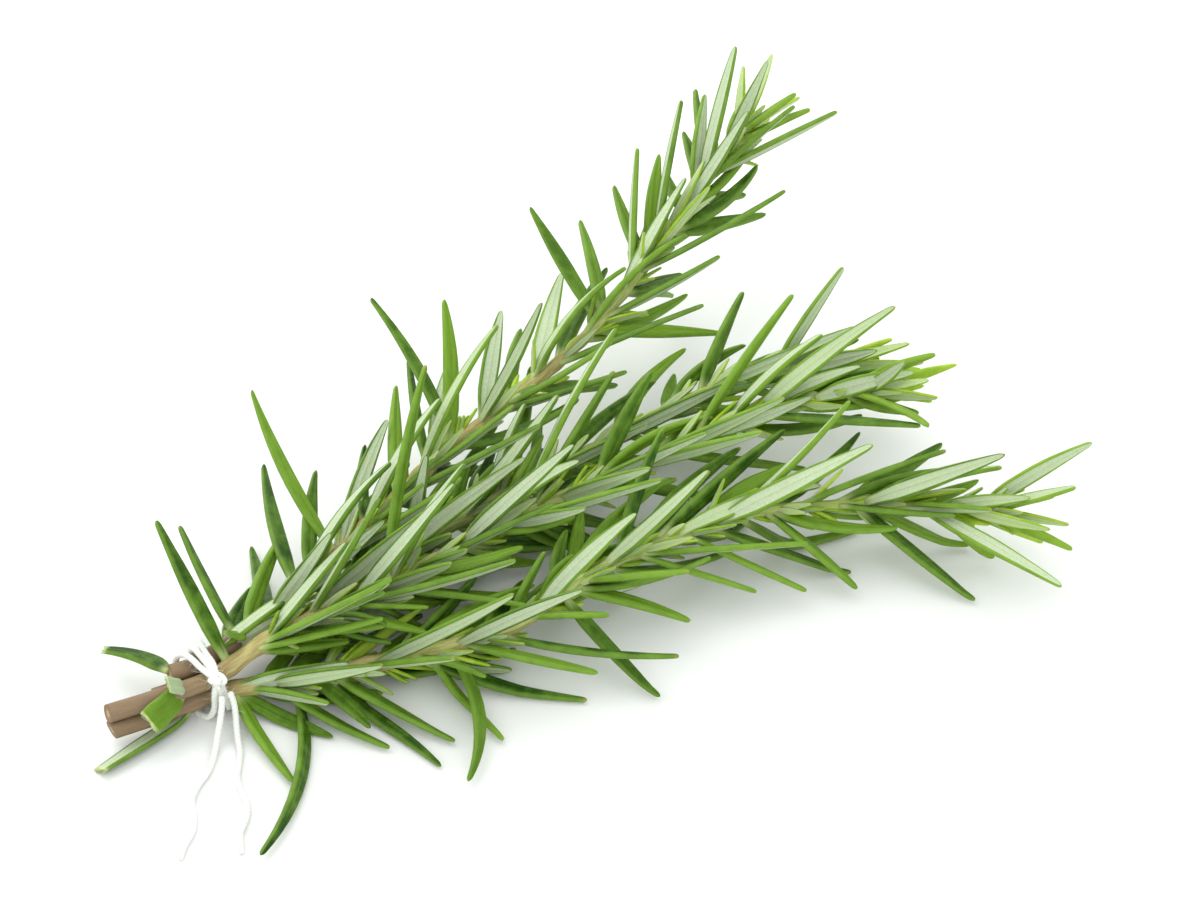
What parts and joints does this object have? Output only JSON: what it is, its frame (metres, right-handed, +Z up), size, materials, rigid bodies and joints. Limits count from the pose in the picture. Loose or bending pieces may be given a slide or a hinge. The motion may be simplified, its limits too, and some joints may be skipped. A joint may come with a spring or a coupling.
{
  "type": "tied bunch of rosemary sprigs",
  "caption": "Cut rosemary sprigs with narrow leaves, tied near the cut ends with white cotton thread and lying down.",
  "frame": {"origin": "on the surface the bunch lies on, under the thread that ties the stems", "axes": "+X along the bunch from the cut ends to the tips, +Z up from the surface, +Y to the left"},
  "size_m": [0.1701, 0.1197, 0.04],
  "materials": {
    "rosemary": "fresh green leaves with pale felted undersides on stems that turn from brown bark to yellow-green",
    "thread": "soft white twisted cotton, slightly fuzzy"
  },
  "bodies": {
    "root": {"sprig_back": "rosemary", "sprig_front": "rosemary", "sprig_inner": "rosemary", "sprig_middle": "rosemary", "thread_tie": "thread", "thread_end_left": "thread", "thread_end_right": "thread"}
  },
  "joints": []
}
